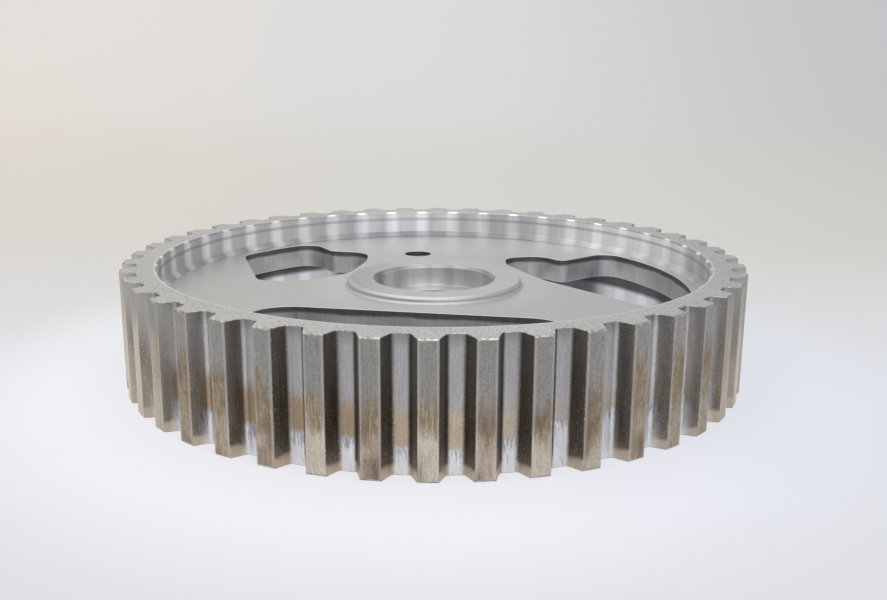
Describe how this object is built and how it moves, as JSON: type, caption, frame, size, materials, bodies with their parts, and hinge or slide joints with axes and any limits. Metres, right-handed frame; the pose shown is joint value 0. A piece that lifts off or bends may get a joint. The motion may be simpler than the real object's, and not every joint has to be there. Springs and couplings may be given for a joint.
{
  "type": "camshaft gear",
  "caption": "Toothed timing-belt wheel in sintered steel: straight belt teeth on a deep rim, a thin web with cut-out windows, and a hub with a stepped bore for its bolt.",
  "frame": {"origin": "on the axis of the bore, in the plane of the rear face of the rim, on which the gear lies", "axes": "+Z along the axis of rotation, out of the front face with the boss; one tooth is centred on -Y"},
  "size_m": [0.1326, 0.1326, 0.0246],
  "materials": {
    "sintered_steel": "satin sintered steel, dull grey with brown stain on the teeth"
  },
  "bodies": {
    "root": {"camshaft_gear": "sintered_steel"}
  },
  "joints": []
}
